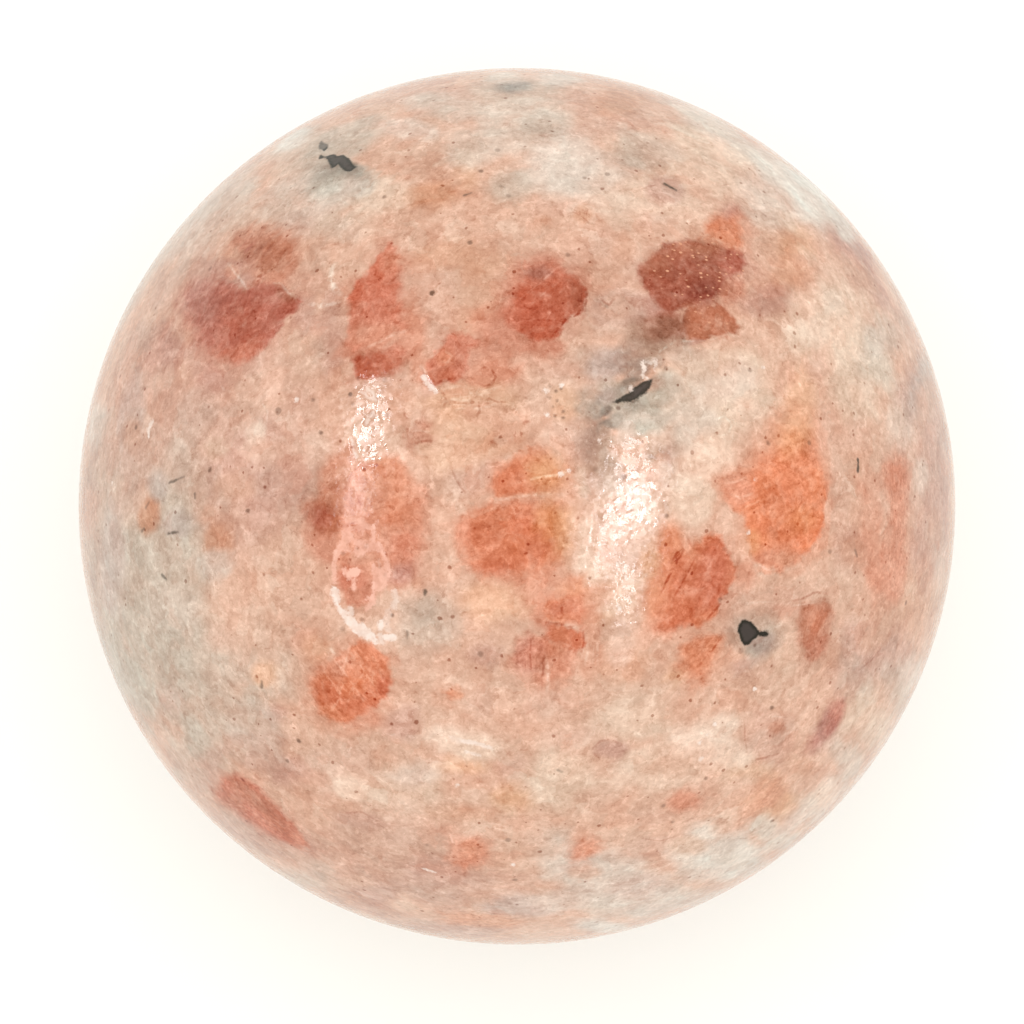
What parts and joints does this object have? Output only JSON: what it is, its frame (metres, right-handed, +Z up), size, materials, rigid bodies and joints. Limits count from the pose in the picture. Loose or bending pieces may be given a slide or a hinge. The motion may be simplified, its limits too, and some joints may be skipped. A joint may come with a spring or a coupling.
{
  "type": "sunstone sphere",
  "caption": "Polished sphere of mottled orange, cream and pink sunstone with black inclusions, resting on a tiny ground flat.",
  "frame": {"origin": "middle of the rest flat on the underside, on the surface that the stone stands on", "axes": "+Z up through the ball's centre, and -Y towards the viewer, so that the pictured face is on top with its upper edge towards +Y"},
  "size_m": [0.06, 0.06, 0.0598],
  "materials": {
    "polished_sunstone": "polished, cloudy cream and pink feldspar with orange to brick-red crystals, fine dark specks and a few black inclusions"
  },
  "bodies": {
    "root": {"sunstone_sphere": "polished_sunstone"}
  },
  "joints": []
}
